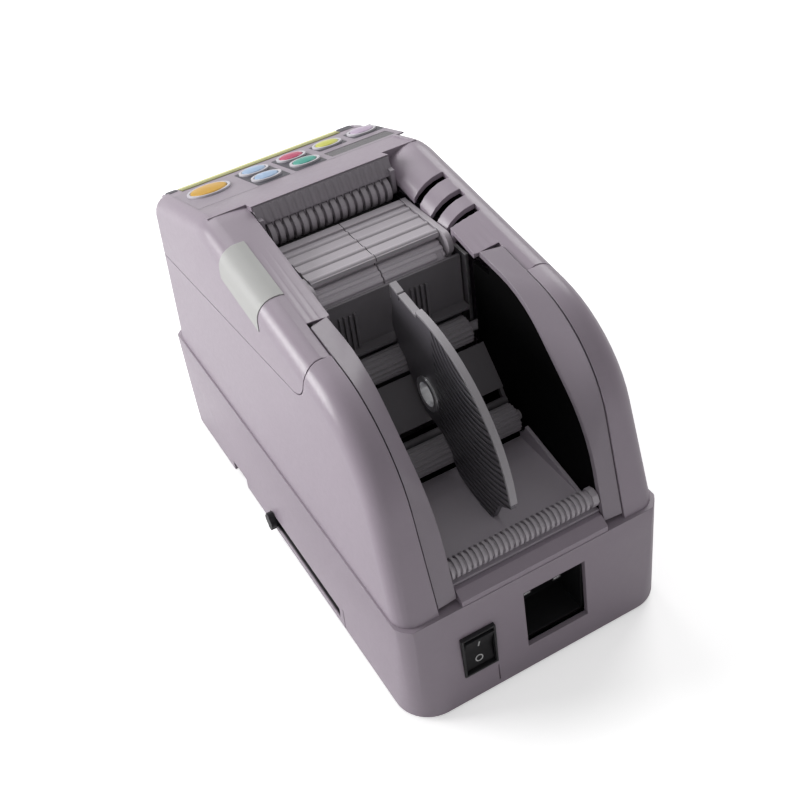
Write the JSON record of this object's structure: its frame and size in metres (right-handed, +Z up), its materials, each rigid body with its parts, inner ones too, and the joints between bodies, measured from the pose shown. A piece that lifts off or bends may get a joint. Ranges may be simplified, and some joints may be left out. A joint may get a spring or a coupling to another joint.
{
  "type": "electric tape dispenser",
  "caption": "Desktop electric tape dispenser: a roll bay with guide rollers and a divider, a lift-up lid with a key panel, a fluted feed drum and a motor-driven cutter.",
  "frame": {"origin": "on the desk plane under the feet, midway along the casing and on the middle plane of the roll bay", "axes": "+Z up; -Y towards the tape exit and key panel, +Y towards the mains socket and switch; +X towards the side lever"},
  "size_m": [0.1228, 0.2285, 0.151],
  "materials": {
    "casing": "satin moulded",
    "trim": "satin moulded",
    "interior": "fine grain moulded",
    "bay_parts": "moulded",
    "divider": "moulded",
    "rim": "satin",
    "roller": "satin moulded",
    "small_roller": "satin moulded",
    "plate_steel": "plated sheet",
    "steel": "ground",
    "gear": "natural moulded",
    "pinion": "machined",
    "motor": "black lacquer",
    "rubber": "matt",
    "board": "solder mask",
    "black": "fine grain moulded",
    "rocker": "glossy",
    "label": "paper film",
    "strip": "printed film",
    "overlay": "printed film",
    "collar": "moulded",
    "display": "smoked window",
    "key_mauve": "moulded",
    "key_yellow": "moulded",
    "key_red": "moulded",
    "key_green": "moulded",
    "key_blue": "moulded",
    "key_orange": "moulded"
  },
  "bodies": {
    "base": {"base_casing": "casing", "bottom_plate": "plate_steel", "rubber_feet": "rubber", "base_screws": "steel", "chassis": "plate_steel", "upper_casing": "casing", "bay_trim_left": "trim", "bay_trim_right": "trim", "bay_liner": "interior", "bay_floor": "bay_parts", "bay_front_wall": "bay_parts", "sill_plate": "casing", "deck_plate": "bay_parts", "divider_plate": "divider", "divider_rim": "rim", "drum_flanges": "roller", "guide_left": "roller", "guide_right": "roller", "feed_motor": "motor", "cutter_frame": "plate_steel", "fixed_blade": "steel", "return_spring": "steel", "solenoid": "motor", "exit_chute": "black", "power_supply": "board", "mains_inlet": "black", "switch_frame": "black"},
    "lid_assembly": {"lid": "casing", "comb_plate": "bay_parts", "side_label": "label", "front_strip": "strip", "control_overlay": "overlay", "key_collars": "collar", "display_window": "display", "control_board": "board"},
    "feed_roller": {"feed_ring_roller": "roller"},
    "flap": {"exit_flap": "roller"},
    "drive": {"drive_roller": "rubber", "drive_shaft": "steel", "drive_gear": "gear"},
    "drum": {"drum_left": "roller", "drum_right": "roller", "drum_shaft": "steel", "drum_gear": "gear"},
    "idler": {"idler_gear": "gear"},
    "pinion": {"motor_pinion": "pinion"},
    "cutter": {"cutter_yoke": "plate_steel", "moving_blade": "steel"},
    "rear_roller": {"rear_ring_roller": "roller"},
    "near_guide_roller": {"near_roller": "small_roller"},
    "far_guide_roller": {"far_roller": "small_roller"},
    "rocker": {"switch_rocker": "rocker"},
    "lever": {"side_lever": "black"},
    "mauve_key": {"key_mauve": "key_mauve"},
    "yellow_key": {"key_yellow": "key_yellow"},
    "red_key": {"key_red": "key_red"},
    "green_key": {"key_green": "key_green"},
    "blue_front_key": {"key_blue_front": "key_blue"},
    "blue_back_key": {"key_blue_back": "key_blue"},
    "orange_key": {"key_orange": "key_orange"}
  },
  "joints": [
    {"name": "lid_hinge", "type": "hinge", "parent": "base", "child": "lid_assembly", "pos_m": [0, 0.037, 0.132], "axis": [-1, 0, 0], "range_deg": [0, 50]},
    {"name": "feed_roller_turn", "type": "hinge", "parent": "lid_assembly", "child": "feed_roller", "pos_m": [0, -0.0348, 0.1375], "axis": [1, 0, 0], "continuous": true},
    {"name": "flap_hinge", "type": "hinge", "parent": "lid_assembly", "child": "flap", "pos_m": [0, -0.106, 0.1227], "axis": [-1, 0, 0], "range_deg": [0, 60]},
    {"name": "drive_turn", "type": "hinge", "parent": "base", "child": "drive", "pos_m": [0, -0.0348, 0.1228], "axis": [1, 0, 0], "continuous": true},
    {"name": "drum_turn", "type": "hinge", "parent": "base", "child": "drum", "pos_m": [0, 0.0043, 0.1252], "axis": [1, 0, 0], "continuous": true},
    {"name": "idler_turn", "type": "hinge", "parent": "base", "child": "idler", "pos_m": [0, -0.01464, 0.114], "axis": [1, 0, 0], "continuous": true},
    {"name": "pinion_turn", "type": "hinge", "parent": "base", "child": "pinion", "pos_m": [0, -0.01464, 0.096], "axis": [1, 0, 0], "continuous": true},
    {"name": "cutter_slide", "type": "slide", "parent": "base", "child": "cutter", "axis": [0, 0, -1], "range_m": [0, 0.007], "stiffness_N_per_m": 400, "springref_m": -0.004, "deforming": ["return_spring"]},
    {"name": "rear_roller_turn", "type": "hinge", "parent": "base", "child": "rear_roller", "pos_m": [0, 0.102, 0.0655], "axis": [1, 0, 0], "continuous": true},
    {"name": "near_roller_turn", "type": "hinge", "parent": "base", "child": "near_guide_roller", "pos_m": [0, 0.0502, 0.069], "axis": [1, 0, 0], "continuous": true},
    {"name": "far_roller_turn", "type": "hinge", "parent": "base", "child": "far_guide_roller", "pos_m": [0, 0.0197, 0.096], "axis": [1, 0, 0], "continuous": true},
    {"name": "rocker_tilt", "type": "hinge", "parent": "base", "child": "rocker", "pos_m": [0.0285, 0.1083, 0.0275], "axis": [1, 0, 0], "range_deg": [0, 9]},
    {"name": "lever_slide", "type": "slide", "parent": "base", "child": "lever", "axis": [0, 1, 0], "range_m": [0, 0.0615]},
    {"name": "mauve_key_press", "type": "slide", "parent": "lid_assembly", "child": "mauve_key", "axis": [0, 0.2937, -0.9559], "range_m": [0, 0.001], "stiffness_N_per_m": 300, "springref_m": -0.0003},
    {"name": "yellow_key_press", "type": "slide", "parent": "lid_assembly", "child": "yellow_key", "axis": [0, 0.2937, -0.9559], "range_m": [0, 0.001], "stiffness_N_per_m": 300, "springref_m": -0.0003},
    {"name": "red_key_press", "type": "slide", "parent": "lid_assembly", "child": "red_key", "axis": [0, 0.2937, -0.9559], "range_m": [0, 0.001], "stiffness_N_per_m": 300, "springref_m": -0.0003},
    {"name": "green_key_press", "type": "slide", "parent": "lid_assembly", "child": "green_key", "axis": [0, 0.2937, -0.9559], "range_m": [0, 0.001], "stiffness_N_per_m": 300, "springref_m": -0.0003},
    {"name": "blue_front_key_press", "type": "slide", "parent": "lid_assembly", "child": "blue_front_key", "axis": [0, 0.2937, -0.9559], "range_m": [0, 0.001], "stiffness_N_per_m": 300, "springref_m": -0.0003},
    {"name": "blue_back_key_press", "type": "slide", "parent": "lid_assembly", "child": "blue_back_key", "axis": [0, 0.2937, -0.9559], "range_m": [0, 0.001], "stiffness_N_per_m": 300, "springref_m": -0.0003},
    {"name": "orange_key_press", "type": "slide", "parent": "lid_assembly", "child": "orange_key", "axis": [0, 0.2937, -0.9559], "range_m": [0, 0.001], "stiffness_N_per_m": 300, "springref_m": -0.0003}
  ],
  "couplings": [
    {"joint": "drum_turn", "follows": "drive_turn", "ratio": 1},
    {"joint": "idler_turn", "follows": "drive_turn", "ratio": -0.83333},
    {"joint": "pinion_turn", "follows": "drive_turn", "ratio": 1.6667}
  ]
}
